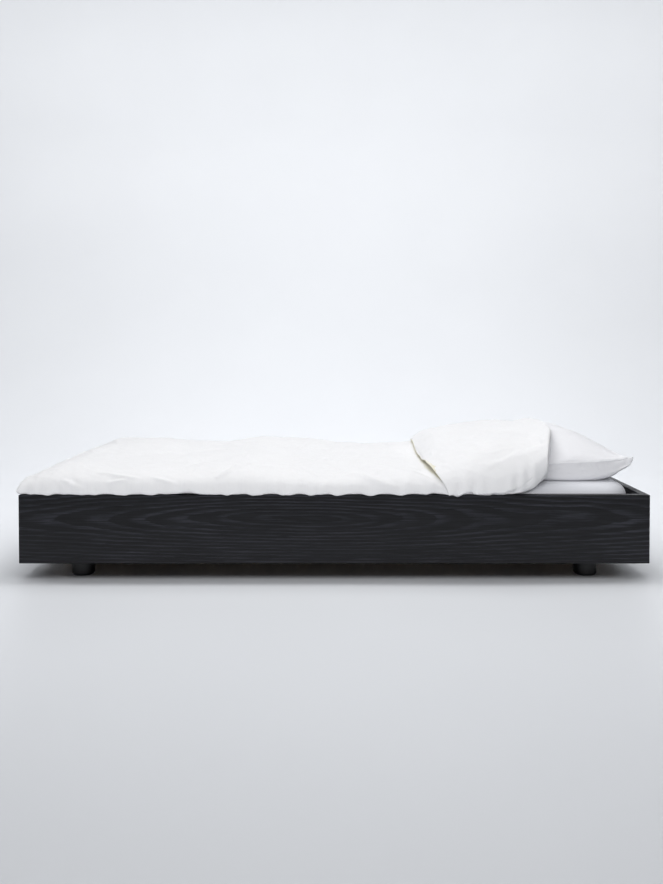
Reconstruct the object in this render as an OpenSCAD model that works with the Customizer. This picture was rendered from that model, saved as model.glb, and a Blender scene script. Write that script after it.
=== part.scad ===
// Low platform bed: a mitred box frame of stained boards on four round legs, a slatted base,
// a mattress in a fitted sheet, a pillow and a turned-back duvet.
// Millimetres. The origin is on the floor under the middle of the bed. +X points to the head
// end, -Y is the front side and +Z is up.

/* [Mattress] */
// Length of the mattress
mattress_l = 2000; // [1900:10:2400]
// Width of the mattress
mattress_w = 900; // [840:10:1400]
// Thickness of the mattress
mattress_h = 175; // [140:5:220]
// Radius of the mattress corners, seen from above
mattress_corner_r = 85; // [50:5:90]
// Radius of the mattress edges, seen from the side
mattress_edge_r = 35; // [15:5:40]
// Gap between the mattress and the boards
mattress_gap = 5; // [4:1:10]
// Thickness of the fitted sheet
sheet_t = 1.5; // [1:0.5:2]
// Width of the sheet's hem turned under the mattress
sheet_hem = 80; // [50:5:120]
// How far the made mattress stands above the boards
mattress_proud = 27; // [15:1:60]

/* [Box frame] */
// Thickness of the boards
board_t = 25; // [20:1:30]
// Eased edge along the boards
arris = 1.5; // [0.5:0.5:3]
// Diameter of the dowels across the mitres
dowel_d = 8; // [6:1:8]
// Length of the dowels across the mitres
dowel_l = 20; // [14:1:22]

/* [Corner brackets] */
// Length of each flange of the bracket
bracket_leg = 50; // [40:1:54]
// Height of the bracket
bracket_h = 150; // [120:5:160]
// Thickness of the bracket's steel
bracket_t = 2.5; // [2:0.5:3]
// Distance from the corner to the bracket's screws
bracket_screw_x = 28; // [24:1:32]
// Diameter of the bracket's machine screws
machine_d = 6; // [5:1:6]
// Diameter of the threaded inserts
insert_d = 9; // [8:1:10]
// Length of the threaded inserts
insert_l = 12; // [10:1:14]

/* [Ledgers and bearers] */
// Width of the ledgers
ledger_w = 30; // [25:1:40]
// Height of the ledgers
ledger_h = 30; // [25:1:40]
// Gap between a ledger's end and the bracket
ledger_end_gap = 5; // [3:1:20]
// Width of the cross bearers
bearer_w = 110; // [106:1:140]
// Thickness of the cross bearers
bearer_t = 25; // [20:1:30]
// Shank diameter of the wood screws
wood_screw_d = 4.5; // [4:0.5:5]
// Screws along each ledger
ledger_screws_n = 7; // [5:2:9]

/* [Legs] */
// Diameter of the legs
leg_d = 75; // [60:1:95]
// Height of a leg without its glide
leg_h = 47; // [40:1:90]
// Distance from the end of the bed to the middle of a leg
leg_end_inset = 190; // [150:5:300]
// Gap between a leg and the side board's inner face
leg_side_gap = 4.5; // [3:0.5:12]
// Thickness of the felt glides
glide_t = 3; // [2:0.5:5]
// Margin between a glide's edge and the leg's
glide_margin = 4.5; // [4:0.5:10]
// Diameter of the threaded studs
stud_d = 8; // [6:1:10]
// Depth of the studs in the legs
stud_depth = 28; // [20:1:32]

/* [Slatted base] */
// Number of slats
slats_n = 14; // [12:1:15]
// Width of a slat
slat_w = 70; // [50:1:80]
// Thickness of a slat
slat_t = 18; // [12:1:22]
// Gap between a slat's end and the board
slat_end_gap = 3; // [2:1:5]
// Width of the webbing
webbing_w = 30; // [20:1:40]
// Thickness of the webbing
webbing_t = 1.2; // [0.8:0.1:2]
// Distance from the ledger to the middle of the webbing
webbing_inset = 95; // [60:5:150]
// Diameter of the locating pegs
peg_d = 8; // [6:1:10]
// Height of the pegs above the ledgers
peg_up = 12; // [8:1:14]
// Depth of the pegs in the ledgers
peg_down = 12; // [8:1:12]

/* [Pillow] */
// Length of the pillow along the bed
pillow_l = 450; // [400:1:600]
// Width of the pillow across the bed
pillow_w = 780; // [600:10:800]
// Height of the plumped pillow
pillow_h = 168; // [120:1:180]
// Distance from the pillow to the outside of the head end
pillow_head_inset = 25; // [10:5:80]

/* [Duvet] */
// Height of the duvet above the sheet
duvet_loft = 84; // [60:1:110]
// Height of the turned-back part above the sheet
fold_h = 180; // [176:1:220]
// Length of the turned-back part
fold_l = 452; // [350:1:600]
// How far the duvet reaches over the pillow
pillow_overlap = 200; // [150:1:230]
// Slope of the duvet's sides, measured in plan
duvet_shoulder = 80; // [40:5:110]

/* [Clearances] */
// Gap between soft pieces and what they rest on
soft_gap = 0.5; // [0.3:0.1:1]
// Gap between a ledger and the tee nuts beside it
nut_gap = 2; // [1:0.5:6]
// Radial clearance of screws, studs and dowels in their holes
fit = 0.1; // [0.05:0.05:0.3]
// Radial clearance of the slats' holes around the pegs
peg_fit = 0.4; // [0.2:0.1:1]
// Gap between the pillow and the duvet over it
pillow_clearance = 4; // [2:1:8]

/* [Hidden] */
$fn = 48;
soft_fn = 32;

// Overall sizes of the frame
inner_l = mattress_l + 2 * mattress_gap;
inner_w = mattress_w + 2 * mattress_gap;
outer_l = inner_l + 2 * board_t;
outer_w = inner_w + 2 * board_t;

// Heights, stacked from the floor
board_z0 = glide_t + leg_h;
bearer_z1 = board_z0 + bearer_t;
ledger_z1 = bearer_z1 + ledger_h;
slat_z1 = ledger_z1 + slat_t;
mattress_z0 = slat_z1 + sheet_t + soft_gap;
mattress_z1 = mattress_z0 + mattress_h;
sheet_z1 = mattress_z1 + soft_gap + sheet_t;
soft_z0 = sheet_z1 + soft_gap;
board_z1 = sheet_z1 - mattress_proud;
board_h = board_z1 - board_z0;

// Places along and across the bed
tee_flange_d = 20;
leg_x = outer_l / 2 - leg_end_inset;
leg_y = inner_w / 2 - max(leg_side_gap + leg_d / 2, ledger_w + nut_gap + tee_flange_d / 2);
ledger_y = inner_w / 2 - ledger_w / 2;
ledger_l = inner_l - 2 * (bracket_leg + ledger_end_gap);
ledger_screw_edge = 20;
ledger_screw_pitch = (ledger_l - 2 * ledger_screw_edge) / (ledger_screws_n - 1);
ledger_screw_z = bearer_z1 + ledger_h / 2;
slat_span = ledger_l - 2 * ledger_screw_edge - slat_w;
slat_pitch = slat_span / (slats_n - 1);
slat_l = inner_w - 2 * slat_end_gap;
webbing_y = ledger_y - ledger_w / 2 - webbing_inset;
bearer_end_gap = 1;
bearer_screw_dx = bearer_w / 2 - 11;

// Screws, inserts and studs
wood_head_d = 2 * wood_screw_d;
wood_head_h = wood_screw_d / 2;
wood_bite = 15;
bracket_z0 = ledger_z1 - 20;
bracket_screw_zs = [for (k = [0:2]) bracket_z0 + 20 + k * (bracket_h - 40) / 2];
machine_head_d = 11;
machine_head_h = 3;
machine_l = insert_l + bracket_t + 1;
insert_hole_l = machine_l - bracket_t + 1;
dowel_zs = [board_z0 + 40, board_z1 - 40];
tee_flange_t = 1.5;
tee_barrel_d = stud_d + 2.4;
tee_barrel_l = 9;
tack_d = 2;
tack_head_d = 8;
tack_head_t = 1;
tack_bite = 8;

// Pillow and duvet, from the head end
pillow_x1 = outer_l / 2 - pillow_head_inset;
pillow_x0 = pillow_x1 - pillow_l;
pillow_top_l = 140;
pillow_top_w = pillow_w - 340;
pillow_seam_z = soft_z0 + pillow_h / 2;
duvet_x1 = pillow_x0 + pillow_overlap;
fold_x0 = duvet_x1 - fold_l;

ENDS = [["foot", -1], ["head", 1]];
SIDES = [["front", -1], ["back", 1]];
CORNERS = [for (s = SIDES) for (e = ENDS) [str(s[0], "_", e[0]), e[1], s[1]]];

function slat_name(i) = str("slat_", i < 9 ? "0" : "", i + 1);
function slat_x(i) = -slat_span / 2 + i * slat_pitch;

// ---------- shared shapes ----------

// A copy of the children at each of the four corners, mirrored so that a shape drawn for
// the head end of the back side fits all four.
module at_corners() {
    for (c = CORNERS)
        at_corner(c) children();
}

module at_corner(c) {
    mirror([c[1] < 0 ? 1 : 0, 0, 0])
        mirror([0, c[2] < 0 ? 1 : 0, 0])
            children();
}

// Section of a board with its four long edges eased; the outer face is at y = 0
module board_section() {
    polygon([
        [arris, 0], [board_h - arris, 0], [board_h, arris], [board_h, board_t - arris],
        [board_h - arris, board_t], [arris, board_t], [0, board_t - arris], [0, arris]
    ]);
}

// A board of the given outside length along X, mitred at both ends. Its outer face is at y = 0.
module mitred_board(length) {
    reach = 2 * board_t;
    difference() {
        translate([-length / 2, 0, board_h])
            rotate([0, 90, 0])
                linear_extrude(length) board_section();
        for (side = [-1, 1])
            translate([side * length / 2, 0, -1])
                rotate([0, 0, side > 0 ? 45 : -45])
                    translate([side > 0 ? 0 : -reach, -reach, 0])
                        cube([reach, 3 * reach, board_h + 2]);
    }
}

// Countersunk wood screw pointing along +Z, with its head's face at z = 0
module wood_screw(length, grow = 0) {
    head_r = wood_head_d / 2 + grow;
    shank_r = wood_screw_d / 2 + grow;
    cylinder(h = wood_head_h, r1 = head_r, r2 = shank_r);
    cylinder(h = length, r = shank_r);
}

// Slab with rounded corners and rounded edges, standing on z = 0
module rounded_slab(length, width, height, corner_r, edge_r) {
    steps = 4;
    quarter = [for (k = [0:steps]) k * 90 / steps];
    hull()
        for (sx = [-1, 1], sy = [-1, 1])
            translate([sx * (length / 2 - corner_r), sy * (width / 2 - corner_r), 0])
                rotate_extrude($fn = soft_fn)
                    polygon(concat(
                        [[0, 0]],
                        [for (a = quarter) [corner_r - edge_r * (1 - sin(a)), edge_r * (1 - cos(a))]],
                        [for (a = quarter) [
                            corner_r - edge_r * (1 - cos(a)), height - edge_r * (1 - sin(a))
                        ]],
                        [[0, height]]
                    ));
}

// Flat box given by its middle, its size and its two heights
module plate(x, length, width, z0, z1) {
    translate([x - length / 2, -width / 2, z0])
        cube([length, width, z1 - z0]);
}

// ---------- box frame ----------

// Axes of the machine screws in a side board, at the head end of the back side
module at_side_screws() {
    for (z = bracket_screw_zs)
        translate([inner_l / 2 - bracket_screw_x, inner_w / 2, z])
            rotate([-90, 0, 0]) children();
}

// Axes of the machine screws in an end board, at the head end of the back side
module at_end_screws() {
    for (z = bracket_screw_zs)
        translate([inner_l / 2, inner_w / 2 - bracket_screw_x, z])
            rotate([0, 90, 0]) children();
}

// Axes of the dowels across the mitre, at the head end of the back side
module at_dowels() {
    for (z = dowel_zs)
        translate([outer_l / 2 - board_t / 2, outer_w / 2 - board_t / 2, z])
            rotate([0, 0, -45])
                rotate([0, 90, 0]) children();
}

module insert_hole() {
    cylinder(h = insert_hole_l, r = insert_d / 2 + fit);
}

module dowel(grow = 0) {
    cylinder(h = dowel_l + 2 * grow, d = dowel_d + 2 * grow, center = true);
}

module at_ledger_screws() {
    for (k = [0:ledger_screws_n - 1])
        translate([
            -ledger_l / 2 + ledger_screw_edge + k * ledger_screw_pitch,
            inner_w / 2 - ledger_w, ledger_screw_z
        ])
            rotate([-90, 0, 0]) children();
}

// Side board, drawn for the back side
module side_rail(side) {
    color("#222226")
        mirror([0, side < 0 ? 1 : 0, 0])
            difference() {
                translate([0, outer_w / 2, board_z0])
                    mirror([0, 1, 0]) mitred_board(outer_l);
                for (end = [0, 1])
                    mirror([end, 0, 0]) {
                        at_side_screws() insert_hole();
                        at_dowels() dowel(fit);
                    }
                at_ledger_screws() wood_screw(ledger_w + wood_bite + 1, fit);
            }
}

// End board, drawn for the head end
module end_rail(end) {
    color("#222226")
        mirror([end < 0 ? 1 : 0, 0, 0])
            difference() {
                translate([outer_l / 2, 0, board_z0])
                    rotate([0, 0, 90]) mitred_board(outer_w);
                for (side = [0, 1])
                    mirror([0, side, 0]) {
                        at_end_screws() insert_hole();
                        at_dowels() dowel(fit);
                    }
            }
}

// Steel angle inside a corner
module corner_bracket(c) {
    color("silver")
        at_corner(c)
            difference() {
                translate([inner_l / 2, inner_w / 2, bracket_z0])
                    linear_extrude(bracket_h)
                        polygon([
                            [0, 0], [-bracket_leg, 0], [-bracket_leg, -bracket_t],
                            [-bracket_t, -bracket_t], [-bracket_t, -bracket_leg],
                            [0, -bracket_leg]
                        ]);
                at_side_screws() bracket_hole();
                at_end_screws() bracket_hole();
            }
}

module bracket_hole() {
    cylinder(h = 4 * bracket_t, d = machine_d + 0.6, center = true);
}

// Pan-head machine screws of the four brackets
module bracket_screws() {
    color("silver")
        at_corners() {
            at_side_screws() machine_screw();
            at_end_screws() machine_screw();
        }
}

module machine_screw() {
    translate([0, 0, -bracket_t - machine_head_h])
        cylinder(h = machine_head_h, d = machine_head_d);
    translate([0, 0, -bracket_t])
        cylinder(h = machine_l, d = machine_d);
}

module threaded_inserts() {
    color("goldenrod")
        at_corners() {
            at_side_screws() insert();
            at_end_screws() insert();
        }
}

module insert() {
    difference() {
        cylinder(h = insert_l, d = insert_d);
        translate([0, 0, -1])
            cylinder(h = insert_l + 2, r = machine_d / 2 + fit);
    }
}

module mitre_dowels() {
    color("burlywood")
        at_corners()
            at_dowels() dowel();
}

// ---------- ledgers and bearers ----------

module at_bearer_screws() {
    for (dx = [-1, 1])
        translate([leg_x + dx * bearer_screw_dx, ledger_y, board_z0]) children();
}

module at_pegs() {
    translate([slat_span / 2, ledger_y, ledger_z1]) children();
}

// Batten along a side board, which carries the slats
module ledger(side) {
    bearer_bite = wood_bite + 1;
    color("burlywood")
        mirror([0, side < 0 ? 1 : 0, 0])
            difference() {
                translate([-ledger_l / 2, inner_w / 2 - ledger_w, bearer_z1])
                    cube([ledger_l, ledger_w, ledger_h]);
                at_ledger_screws() wood_screw(ledger_w + wood_bite + 1, fit);
                for (end = [0, 1])
                    mirror([end, 0, 0]) {
                        at_bearer_screws() wood_screw(bearer_t + bearer_bite, fit);
                        at_pegs()
                            translate([0, 0, -peg_down])
                                cylinder(h = peg_down + 1, r = peg_d / 2 + fit);
                    }
            }
}

// Board across the bed, which carries two legs
module bearer(end) {
    length = inner_w - 2 * bearer_end_gap;
    color("burlywood")
        mirror([end < 0 ? 1 : 0, 0, 0])
            difference() {
                translate([leg_x - bearer_w / 2, -length / 2, board_z0])
                    cube([bearer_w, length, bearer_t]);
                for (side = [0, 1])
                    mirror([0, side, 0]) {
                        at_bearer_screws() wood_screw(bearer_t + 1, fit);
                        translate([leg_x, leg_y, board_z0 - 1])
                            cylinder(h = bearer_t + 2, r = tee_barrel_d / 2 + fit);
                    }
            }
}

module ledger_screws() {
    color("silver")
        for (side = [0, 1])
            mirror([0, side, 0])
                at_ledger_screws() wood_screw(ledger_w + wood_bite);
}

module bearer_screws() {
    color("silver")
        at_corners()
            at_bearer_screws() wood_screw(bearer_t + wood_bite);
}

module slat_pegs() {
    color("tan")
        at_corners()
            at_pegs()
                translate([0, 0, -peg_down])
                    cylinder(h = peg_down + peg_up, d = peg_d);
}

// ---------- legs ----------

// Turned leg with its lower edge rounded over
module leg(c) {
    round_r = 4;
    steps = 4;
    color("#141416")
        at_corner(c)
            translate([leg_x, leg_y, glide_t])
                rotate_extrude()
                    polygon(concat(
                        [[0, 0]],
                        [for (k = [0:steps]) [
                            leg_d / 2 - round_r * (1 - sin(k * 90 / steps)),
                            round_r * (1 - cos(k * 90 / steps))
                        ]],
                        [
                            [leg_d / 2, leg_h], [stud_d / 2 + fit, leg_h],
                            [stud_d / 2 + fit, leg_h - stud_depth - 1],
                            [0, leg_h - stud_depth - 1]
                        ]
                    ));
}

module felt_glide(c) {
    color("#1c1c1c")
        at_corner(c)
            translate([leg_x, leg_y, 0])
                cylinder(h = glide_t, d = leg_d - 2 * glide_margin);
}

// Threaded studs from the legs through the bearers into the tee nuts
module leg_studs() {
    color("silver")
        at_corners()
            translate([leg_x, leg_y, board_z0 - stud_depth])
                cylinder(h = stud_depth + bearer_t, d = stud_d);
}

module tee_nuts() {
    color("silver")
        at_corners()
            translate([leg_x, leg_y, bearer_z1])
                difference() {
                    union() {
                        cylinder(h = tee_flange_t, d = tee_flange_d);
                        translate([0, 0, -tee_barrel_l])
                            cylinder(h = tee_barrel_l + tee_flange_t, d = tee_barrel_d);
                    }
                    translate([0, 0, -tee_barrel_l - 1])
                        cylinder(h = tee_barrel_l + tee_flange_t + 2, r = stud_d / 2 + fit);
                }
}

// ---------- slatted base ----------

// Tacks that hold the webbing to one slat, given at x = 0
module at_slat_tacks() {
    for (side = [-1, 1])
        translate([0, side * webbing_y, ledger_z1]) children();
}

module tack_shank(up, down, grow = 0) {
    translate([0, 0, -down])
        cylinder(h = down + up, r = tack_d / 2 + grow);
}

module slat(i) {
    is_end = i == 0 || i == slats_n - 1;
    peg_hole_l = peg_up + 2;
    color("tan")
        translate([slat_x(i), 0, 0])
            difference() {
                translate([-slat_w / 2, -slat_l / 2, ledger_z1])
                    cube([slat_w, slat_l, slat_t]);
                at_slat_tacks() tack_shank(tack_bite + 1, 1, fit);
                if (is_end)
                    for (side = [-1, 1])
                        translate([0, side * ledger_y, ledger_z1 - 1])
                            cylinder(h = peg_hole_l + 1, r = peg_d / 2 + peg_fit);
            }
}

// Strap under the slats, which keeps them at their spacing
module webbing(side) {
    length = slat_span + slat_w;
    color("dimgray")
        difference() {
            translate([-length / 2, side * webbing_y - webbing_w / 2, ledger_z1 - webbing_t])
                cube([length, webbing_w, webbing_t]);
            for (i = [0:slats_n - 1])
                translate([slat_x(i), side * webbing_y, ledger_z1])
                    tack_shank(1, webbing_t + 1, fit);
        }
}

module webbing_tacks() {
    color("silver")
        for (i = [0:slats_n - 1])
            translate([slat_x(i), 0, 0])
                at_slat_tacks() {
                    tack_shank(tack_bite, webbing_t);
                    translate([0, 0, -webbing_t - tack_head_t])
                        cylinder(h = tack_head_t, d = tack_head_d);
                }
}

// ---------- mattress and sheet ----------

module mattress() {
    color("gainsboro")
        translate([0, 0, mattress_z0])
            rounded_slab(mattress_l, mattress_w, mattress_h, mattress_corner_r, mattress_edge_r);
}

// The mattress's shape grown all round by the same amount
module grown_mattress(grow) {
    translate([0, 0, mattress_z0 - grow])
        rounded_slab(
            mattress_l + 2 * grow, mattress_w + 2 * grow, mattress_h + 2 * grow,
            mattress_corner_r + grow, mattress_edge_r + grow
        );
}

// Fitted sheet: a skin over the mattress, open underneath inside its hem
module fitted_sheet() {
    opening_l = mattress_l - 2 * sheet_hem;
    opening_w = mattress_w - 2 * sheet_hem;
    color("whitesmoke")
        difference() {
            grown_mattress(soft_gap + sheet_t);
            grown_mattress(soft_gap);
            plate(0, opening_l, opening_w, slat_z1 - 1, mattress_z0 + 1);
        }
}

// ---------- pillow and duvet ----------

// The plumped pillow: flat where it rests, widest at its seam and narrow at its crest
module pillow_shape(grow = 0) {
    middle = (pillow_x0 + pillow_x1) / 2;
    crest_x = middle + 14;
    hull() {
        plate(
            middle - 10, pillow_l - 130 + 2 * grow, pillow_w - 130 + 2 * grow,
            soft_z0 - grow, soft_z0 + 1
        );
        plate(
            middle, pillow_l + 2 * grow, pillow_w + 2 * grow,
            pillow_seam_z - 12 - grow, pillow_seam_z + grow
        );
        plate(
            crest_x, pillow_top_l + 2 * grow, pillow_top_w + 2 * grow,
            soft_z0 + pillow_h - 1, soft_z0 + pillow_h + grow
        );
    }
}

module pillow() {
    color("white") pillow_shape();
}

// The way that the pillow takes when it is pulled out towards the head end, open downwards
// so that the duvet also lifts off it
module pillow_way() {
    hull()
        for (x = [0, pillow_l], z = [0, -pillow_h])
            translate([x, 0, z]) pillow_shape(pillow_clearance);
}

// Duvet: a loft over the mattress whose sides come down on to the boards, doubled where
// it is turned back, with room under it for the pillow
module duvet() {
    low_z = board_z1 + soft_gap;
    length = duvet_x1 + outer_l / 2;
    middle = duvet_x1 - length / 2;
    fold_middle = fold_x0 + fold_l / 2;
    fold_slope = 28;
    fold_width = outer_w - 10;
    color("white")
        difference() {
            union() {
                hull() {
                    plate(middle, length, outer_w, low_z, low_z + 24);
                    plate(
                        middle, length - 2 * duvet_shoulder, outer_w - 2 * duvet_shoulder,
                        soft_z0 + duvet_loft - 10, soft_z0 + duvet_loft
                    );
                }
                hull() {
                    plate(fold_middle, fold_l, fold_width, soft_z0 + 20, soft_z0 + duvet_loft);
                    plate(
                        fold_middle, fold_l - fold_slope, fold_width - 2 * duvet_shoulder,
                        soft_z0 + fold_h - 20, soft_z0 + fold_h
                    );
                }
            }
            translate([-inner_l / 2, -inner_w / 2, board_z0])
                cube([inner_l, inner_w, soft_z0 - board_z0]);
            pillow_way();
        }
}

// ---------- assembly ----------

for (s = SIDES) {
    side_rail(s[1]);
    ledger(s[1]);
    webbing(s[1]);
}
for (e = ENDS) {
    end_rail(e[1]);
    bearer(e[1]);
}
for (c = CORNERS) {
    corner_bracket(c);
    leg(c);
    felt_glide(c);
}
for (i = [0:slats_n - 1])
    slat(i);
bracket_screws();
threaded_inserts();
mitre_dowels();
ledger_screws();
bearer_screws();
leg_studs();
tee_nuts();
slat_pegs();
webbing_tacks();
mattress();
fitted_sheet();
pillow();
duvet();
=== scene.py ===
"""Low platform bed: the finishes, the mattress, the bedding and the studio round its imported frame."""

import logging
import math
from collections.abc import Callable
from dataclasses import dataclass, field
from enum import Enum

import bmesh
import bpy
import numpy as np
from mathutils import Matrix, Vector


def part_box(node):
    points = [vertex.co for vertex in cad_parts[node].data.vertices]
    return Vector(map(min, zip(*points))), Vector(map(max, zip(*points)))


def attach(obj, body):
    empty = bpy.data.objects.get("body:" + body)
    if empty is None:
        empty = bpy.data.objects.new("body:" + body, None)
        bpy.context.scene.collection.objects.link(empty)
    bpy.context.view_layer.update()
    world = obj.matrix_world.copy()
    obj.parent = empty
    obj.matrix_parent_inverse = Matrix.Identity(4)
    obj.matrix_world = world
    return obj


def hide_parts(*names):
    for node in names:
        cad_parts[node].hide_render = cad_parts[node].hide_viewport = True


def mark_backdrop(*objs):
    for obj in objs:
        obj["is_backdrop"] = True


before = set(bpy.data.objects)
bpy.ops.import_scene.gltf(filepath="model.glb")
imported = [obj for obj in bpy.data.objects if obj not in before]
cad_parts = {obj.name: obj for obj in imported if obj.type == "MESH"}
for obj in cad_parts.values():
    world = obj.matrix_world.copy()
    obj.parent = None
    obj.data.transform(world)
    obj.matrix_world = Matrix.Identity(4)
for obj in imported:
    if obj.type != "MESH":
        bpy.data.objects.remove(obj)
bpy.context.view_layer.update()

LOG = logging.getLogger("platform_bed")
MM = 0.001
Colour = tuple[float, float, float]
Knots = tuple[tuple[float, float], ...]


# ---------- numpy helpers ----------


def ease(value: np.ndarray, start: float, end: float) -> np.ndarray:
    """Smooth step: 0 up to start, 1 from end, and 3t^2 - 2t^3 between them.

    Args:
        value: Any array of places.
        start: Place where the step leaves 0.
        end: Place where it reaches 1; it may be lower than start.

    Returns:
        An array of weights from 0 to 1.
    """
    t = np.clip((value - start) / (end - start), 0.0, 1.0)
    return t * t * (3.0 - 2.0 * t)


def quarter_round(distance: np.ndarray, width: float) -> np.ndarray:
    """Height of a quarter ellipse at a distance in from its edge, from 0 at the edge to 1 at its width."""
    t = np.clip(1.0 - distance / width, 0.0, 1.0)
    return np.sqrt(1.0 - t * t)


def plump_round(distance: np.ndarray, width: float) -> np.ndarray:
    """Like quarter_round, with a fuller shoulder: (1 - t^2.3)^(1/2.3)."""
    t = np.clip(1.0 - distance / width, 0.0, 1.0)
    return (1.0 - t**2.3) ** (1.0 / 2.3)


def soft_line(x: np.ndarray, knots: Knots, window: float) -> np.ndarray:
    """Polyline through the knots, rounded by averaging it over a window along x.

    Args:
        x: Places along the line.
        knots: Pairs of place and height.
        window: Full width of the average.

    Returns:
        The heights at x.
    """
    places, heights = np.array(knots).T
    shifts = np.linspace(-0.5, 0.5, 9) * window
    return np.mean([np.interp(x + shift, places, heights) for shift in shifts], axis=0)


def ripples(points: np.ndarray, wavelength: float, seed: int, waves: int = 28) -> np.ndarray:
    """Smooth noise with a spread near 1: a sum of plane waves in random directions and phases.

    Args:
        points: Array of places whose last axis is the coordinates, in metres.
        wavelength: Middle wavelength in metres; each wave's own is within 40% of it.
        seed: Seed of the directions, lengths and phases.
        waves: Number of waves in the sum.

    Returns:
        One value for each place.
    """
    draw = np.random.default_rng(seed)
    count = points.shape[-1]
    way = draw.normal(size=(waves, count))
    way /= np.linalg.norm(way, axis=1, keepdims=True)
    number = 2.0 * math.pi / (wavelength * draw.uniform(0.7, 1.4, size=(waves, 1)))
    phase = draw.uniform(0.0, 2.0 * math.pi, size=waves)
    flat = points.reshape(-1, count) @ (way * number).T + phase
    return (np.cos(flat).sum(axis=1) * math.sqrt(2.0 / waves)).reshape(points.shape[:-1])


def creases(points: np.ndarray, wavelength: float, seed: int, sharpness: float = 3.0) -> np.ndarray:
    """Thin lines where smooth noise crosses zero: exp(-(sharpness * noise)^2), at places bent by noise."""
    bend = np.stack(
        [ripples(points, wavelength * 3.0, seed + k + 1) for k in range(points.shape[-1])], axis=-1
    )
    return np.exp(-((sharpness * ripples(points + bend * wavelength * 0.35, wavelength, seed)) ** 2))


# ---------- meshes ----------


def grid_piece(
    name: str,
    points: np.ndarray,
    uv: np.ndarray,
    loop: bool = False,
    weld: float = 1e-5,
    marks: dict[str, np.ndarray] | None = None,
) -> bpy.types.Object:
    """Makes a piece from a grid of points and closes its seams by merging points that coincide.

    Args:
        name: Name of the piece.
        points: Array (rows, columns, 3). With loop, the last row joins the first.
        uv: Array (rows, columns, 2), with one more row when loop is true: the cloth's own coordinates.
        loop: Whether the rows close into a ring.
        weld: Distance within which points merge.
        marks: Arrays (rows, columns) to keep as attributes, by name.

    Returns:
        The new object, linked to the scene, at the origin.
    """
    rows, columns = points.shape[:2]
    last = rows if loop else rows - 1
    i, j = np.meshgrid(np.arange(last), np.arange(columns - 1), indexing="ij")
    corners = np.stack([i, i, i + 1, i + 1], axis=-1), np.stack([j, j + 1, j + 1, j], axis=-1)
    index = (corners[0] % rows) * columns + corners[1]
    mesh = bpy.data.meshes.new(name)
    mesh.from_pydata(points.reshape(-1, 3).tolist(), [], index.reshape(-1, 4).tolist())
    layer = mesh.uv_layers.new(name="cloth")
    layer.data.foreach_set("uv", uv[corners].reshape(-1).astype(np.float32))
    for key, values in (marks or {}).items():
        mesh.attributes.new(key, "FLOAT", "POINT").data.foreach_set("value", values.reshape(-1))
    edit = bmesh.new()
    edit.from_mesh(mesh)
    bmesh.ops.remove_doubles(edit, verts=edit.verts, dist=weld)
    bmesh.ops.recalc_face_normals(edit, faces=edit.faces)
    edit.to_mesh(mesh)
    edit.free()
    mesh.polygons.foreach_set("use_smooth", np.ones(len(mesh.polygons), dtype=bool))
    piece = bpy.data.objects.new(name, mesh)
    bpy.context.scene.collection.objects.link(piece)
    return piece


def places_of(mesh: bpy.types.Mesh) -> np.ndarray:
    """The mesh's points as an array (count, 3)."""
    flat = np.empty(len(mesh.vertices) * 3, dtype=np.float32)
    mesh.vertices.foreach_get("co", flat)
    return flat.reshape(-1, 3).astype(float)


def normals_of(mesh: bpy.types.Mesh) -> np.ndarray:
    """The mesh's point normals as an array (count, 3)."""
    flat = np.empty(len(mesh.vertices) * 3, dtype=np.float32)
    mesh.vertex_normals.foreach_get("vector", flat)
    return flat.reshape(-1, 3).astype(float)


def free_of(mesh: bpy.types.Mesh) -> np.ndarray:
    """How free each of the mesh's points is to move, from its attribute."""
    flat = np.empty(len(mesh.vertices), dtype=np.float32)
    mesh.attributes["free"].data.foreach_get("value", flat)
    return flat.astype(float)


def place(mesh: bpy.types.Mesh, points: np.ndarray) -> None:
    """Puts the mesh's points at the given places."""
    mesh.vertices.foreach_set("co", points.astype(np.float32).reshape(-1))
    mesh.update()


def subdivided(piece: bpy.types.Object) -> None:
    """Applies one level of subdivision to the piece's mesh."""
    modifier = piece.modifiers.new("round", "SUBSURF")
    modifier.levels = modifier.render_levels = 1
    graph = bpy.context.evaluated_depsgraph_get()
    old = piece.data
    piece.data = bpy.data.meshes.new_from_object(piece.evaluated_get(graph))
    piece.modifiers.clear()
    bpy.data.meshes.remove(old)


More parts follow.
